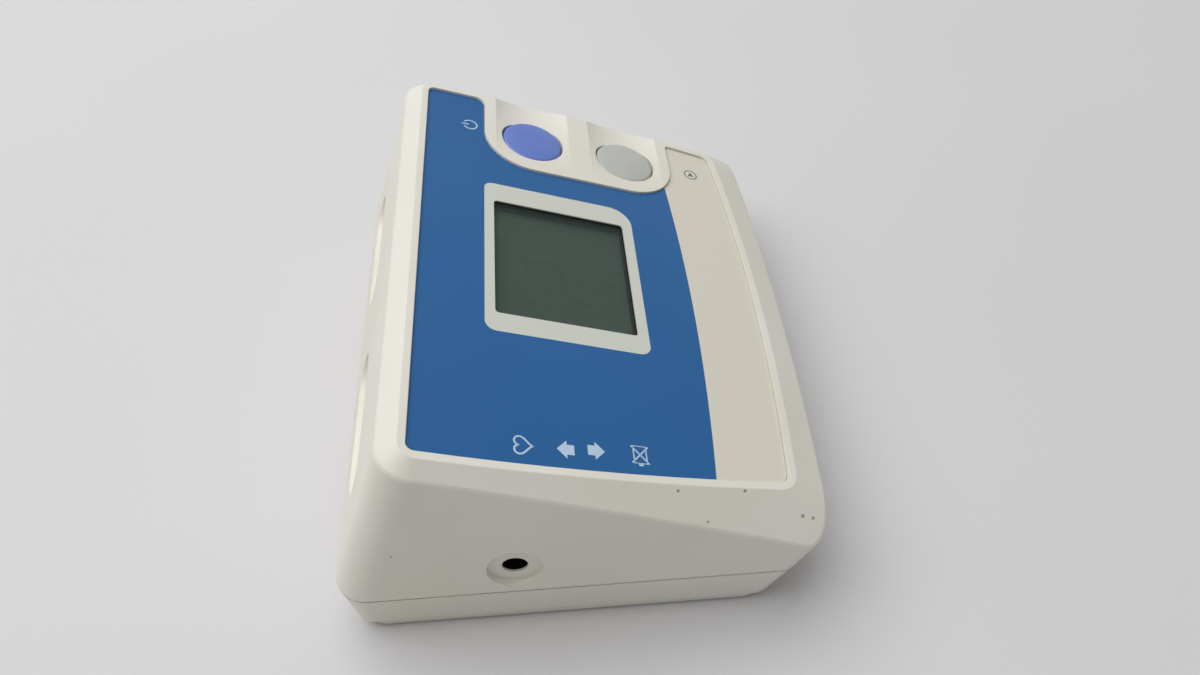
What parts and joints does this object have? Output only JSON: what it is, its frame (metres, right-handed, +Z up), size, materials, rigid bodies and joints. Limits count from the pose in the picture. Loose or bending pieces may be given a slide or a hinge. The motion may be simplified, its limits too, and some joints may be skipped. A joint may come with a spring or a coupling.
{
  "type": "upper arm blood pressure monitor",
  "caption": "Desk blood pressure monitor main unit: wedge case, sloping display panel, round buttons, side hose socket, rear adapter inlet and a sliding battery cover.",
  "frame": {"origin": "centre of the bounding box at the table plane, under the rubber feet", "axes": "+X to the user's right along the widest side, +Y to the back of the case, +Z up from the table"},
  "size_m": [0.166, 0.132, 0.0696],
  "materials": {
    "body_plastic": "satin moulded",
    "label_film": "satin printed film",
    "clear_window": "polished clear plastic",
    "black_plastic": "matt moulded",
    "display_glass": "polished",
    "foam": "foamed",
    "elastomer": "matt",
    "blue_plastic": "satin moulded",
    "grey_plastic": "satin moulded",
    "silicone": "translucent matt",
    "steel": "zinc plated",
    "plated_steel": "nickel plated",
    "foot_rubber": "matt",
    "board_green": "solder resist",
    "aluminium_can": "bright can",
    "cell_wrap": "satin wrap",
    "pump_plastic": "matt moulded"
  },
  "bodies": {
    "case": {"upper_case": "body_plastic", "lower_case": "body_plastic", "front_label": "label_film", "display_window": "clear_window", "lcd_holder": "black_plastic", "lcd_glass": "display_glass", "lcd_backing": "foam", "contact_strips": "elastomer", "power_dome": "silicone", "start_dome": "silicone", "air_socket": "black_plastic", "dc_jack": "black_plastic", "case_screws": "steel", "board_screws": "steel", "strap_screws": "steel", "rubber_feet": "foot_rubber", "main_board": "board_green", "controller_chip": "black_plastic", "buzzer": "black_plastic", "board_capacitors": "aluminium_can", "battery_cells": "cell_wrap", "cell_contacts": "plated_steel", "cell_springs": "plated_steel", "pump_head": "pump_plastic", "pump_motor": "steel", "pump_strap": "steel", "air_manifold": "pump_plastic", "valve_body": "pump_plastic", "pressure_sensor": "pump_plastic", "sensor_tube": "silicone", "pump_tube": "silicone", "socket_tube": "silicone"},
    "power_button": {"power_button": "blue_plastic"},
    "start_button": {"start_button": "grey_plastic"},
    "battery_cover": {"battery_cover": "body_plastic"},
    "pump_rotor": {"pump_rotor": "steel"},
    "valve_plunger": {"valve_plunger": "steel"}
  },
  "joints": [
    {"name": "power_press", "type": "slide", "parent": "case", "child": "power_button", "axis": [0, 0.319, -0.9478], "range_m": [0, 0.0015], "stiffness_N_per_m": 400, "deforming": ["power_dome"]},
    {"name": "start_press", "type": "slide", "parent": "case", "child": "start_button", "axis": [0, 0.319, -0.9478], "range_m": [0, 0.0015], "stiffness_N_per_m": 400, "deforming": ["start_dome"]},
    {"name": "cover_slide", "type": "slide", "parent": "case", "child": "battery_cover", "axis": [0, 1, 0], "range_m": [0, 0.07]},
    {"name": "pump_spin", "type": "hinge", "parent": "case", "child": "pump_rotor", "pos_m": [0.0445, 0.02872, 0.0192], "axis": [1, 0, 0], "continuous": true},
    {"name": "valve_lift", "type": "slide", "parent": "case", "child": "valve_plunger", "axis": [0, -1, 0], "range_m": [0, 0.001], "stiffness_N_per_m": 200}
  ]
}
